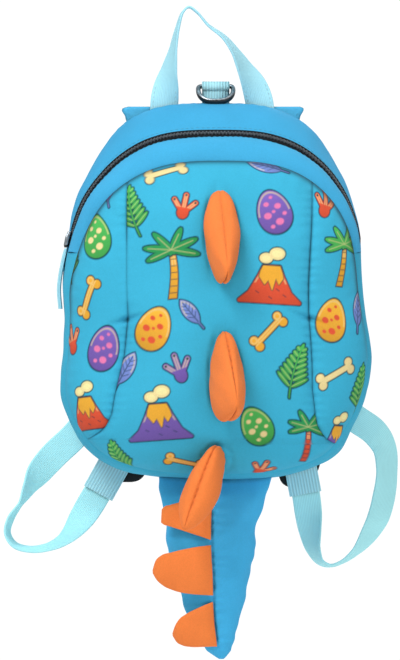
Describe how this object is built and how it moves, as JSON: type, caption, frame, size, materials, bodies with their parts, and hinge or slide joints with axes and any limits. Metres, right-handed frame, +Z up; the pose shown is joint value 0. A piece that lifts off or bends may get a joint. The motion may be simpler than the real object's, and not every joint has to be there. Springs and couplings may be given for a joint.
{
  "type": "toddler harness backpack",
  "caption": "Small padded child's backpack with stuffed front spikes and a stuffed tail, a top handle, a leash ring and looped webbing straps.",
  "frame": {"origin": "inside of the top handle's peak, where a hook holds the hanging bag", "axes": "+Z up through the handle, -Y towards the front with the print and the spikes, +X to the viewer's right when facing the front"},
  "size_m": [0.2818, 0.1806, 0.4653],
  "materials": {
    "print_cloth": "matt woven polyester with an all-over print",
    "side_cloth": "matt woven polyester with an all-over print",
    "blue_cloth": "matt woven polyester",
    "band_cloth": "matt woven polyester over foam",
    "tail_cloth": "matt woven polyester, stuffed",
    "orange_cloth": "matt woven polyester, stuffed",
    "aqua_webbing": "flat woven webbing",
    "ribbed_webbing": "ribbed woven webbing",
    "black_mesh": "open spacer mesh",
    "black_cloth": "matt woven polyester",
    "zip_black": "nylon coil on woven tape",
    "bright_metal": "plated steel, slightly dull"
  },
  "bodies": {
    "bag": {"front_panel": "print_cloth", "side_gore_left": "side_cloth", "side_gore_right": "side_cloth", "front_band": "band_cloth", "zip_track": "zip_black", "top_gusset": "blue_cloth", "bottom_gusset": "blue_cloth", "back_panel": "black_mesh", "yoke": "blue_cloth", "shoulder_pad_left": "blue_cloth", "shoulder_pad_right": "blue_cloth", "strap_left": "aqua_webbing", "strap_right": "aqua_webbing", "strap_anchor_left": "ribbed_webbing", "strap_anchor_right": "ribbed_webbing", "anchor_patch_left": "black_cloth", "anchor_patch_right": "black_cloth", "handle": "aqua_webbing", "leash_tab": "aqua_webbing", "zip_slider": "bright_metal", "pull_tab": "aqua_webbing", "spike_1": "orange_cloth", "spike_2": "orange_cloth", "spike_3": "orange_cloth", "tail": "tail_cloth", "tail_spike_1": "orange_cloth", "tail_spike_2": "orange_cloth", "tail_spike_3": "orange_cloth"},
    "ring": {"leash_ring": "bright_metal"}
  },
  "joints": [
    {"name": "leash_ring_hinge", "type": "hinge", "parent": "bag", "child": "ring", "pos_m": [0.01916, 0.00348, -0.05582], "axis": [-1, 0, 0], "range_deg": [0, 288]}
  ]
}
